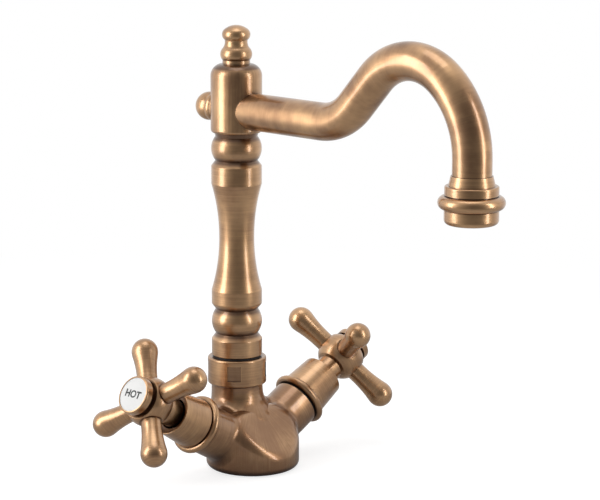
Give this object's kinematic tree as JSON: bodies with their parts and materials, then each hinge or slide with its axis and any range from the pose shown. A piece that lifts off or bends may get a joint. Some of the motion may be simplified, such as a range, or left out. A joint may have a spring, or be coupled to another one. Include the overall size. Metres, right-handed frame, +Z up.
{
  "type": "cross handle tap",
  "caption": "Antique-brass mixer tap: round base with two angled cross-handle valves, turned column and swivelling swan-neck spout.",
  "frame": {"origin": "centre of the round base's underside, on the deck", "axes": "+Z up, -Y towards the front where the spout reaches, -X to the hot valve and +X to the cold valve"},
  "size_m": [0.1761, 0.2062, 0.2341],
  "materials": {
    "aged_brass": "satin",
    "black_rubber": "matte",
    "disc_ceramic": "satin",
    "plain_brass": "satin",
    "steel": "satin",
    "white_plastic": "matte",
    "white_porcelain": "gloss"
  },
  "bodies": {
    "tap_body": {"base_gasket": "black_rubber", "cold_bead_collar": "aged_brass", "cold_cartridge_housing": "plain_brass", "cold_fixed_disc": "disc_ceramic", "cold_flange_gasket": "black_rubber", "cold_seat_seal": "black_rubber", "cold_sleeve": "aged_brass", "hot_bead_collar": "aged_brass", "hot_cartridge_housing": "plain_brass", "hot_fixed_disc": "disc_ceramic", "hot_flange_gasket": "black_rubber", "hot_seat_seal": "black_rubber", "hot_sleeve": "aged_brass", "mixer_body": "aged_brass", "swivel_washer": "black_rubber", "union_nut": "aged_brass"},
    "spout": {"aerator_insert": "white_plastic", "aerator_shell": "aged_brass", "aerator_washer": "black_rubber", "baluster": "aged_brass", "finial": "aged_brass", "head_block": "aged_brass", "lower_bead": "aged_brass", "lower_collar": "aged_brass", "lower_shank_seal": "black_rubber", "outlet_ferrule": "aged_brass", "rear_knob": "aged_brass", "retaining_ring": "steel", "spout_tube": "aged_brass", "stand_pipe": "plain_brass", "swivel_shank": "plain_brass", "upper_bead": "aged_brass", "upper_shank_seal": "black_rubber"},
    "hot_handle": {"hot_arm_1": "aged_brass", "hot_arm_2": "aged_brass", "hot_arm_3": "aged_brass", "hot_arm_4": "aged_brass", "hot_circlip": "steel", "hot_handle_hub": "aged_brass", "hot_handle_screw": "steel", "hot_index_bezel": "aged_brass", "hot_index_disc": "white_porcelain", "hot_moving_disc": "disc_ceramic", "hot_spindle": "plain_brass", "hot_spindle_seal": "black_rubber"},
    "cold_handle": {"cold_arm_1": "aged_brass", "cold_arm_2": "aged_brass", "cold_arm_3": "aged_brass", "cold_arm_4": "aged_brass", "cold_circlip": "steel", "cold_handle_hub": "aged_brass", "cold_handle_screw": "steel", "cold_index_bezel": "aged_brass", "cold_index_disc": "white_porcelain", "cold_moving_disc": "disc_ceramic", "cold_spindle": "plain_brass", "cold_spindle_seal": "black_rubber"}
  },
  "joints": [
    {"name": "spout_swivel", "type": "hinge", "parent": "tap_body", "child": "spout", "pos_m": [0, 0.0119, 0.058], "axis": [0, 0, 1], "continuous": true},
    {"name": "hot_handle_turn", "type": "hinge", "parent": "tap_body", "child": "hot_handle", "pos_m": [0, 0.0031, 0.00765], "axis": [-0.8729, 0, 0.4879], "range_deg": [0, 90]},
    {"name": "cold_handle_turn", "type": "hinge", "parent": "tap_body", "child": "cold_handle", "pos_m": [0, 0.0031, 0.00765], "axis": [0.8729, 0, 0.4879], "range_deg": [-90, 0]}
  ]
}
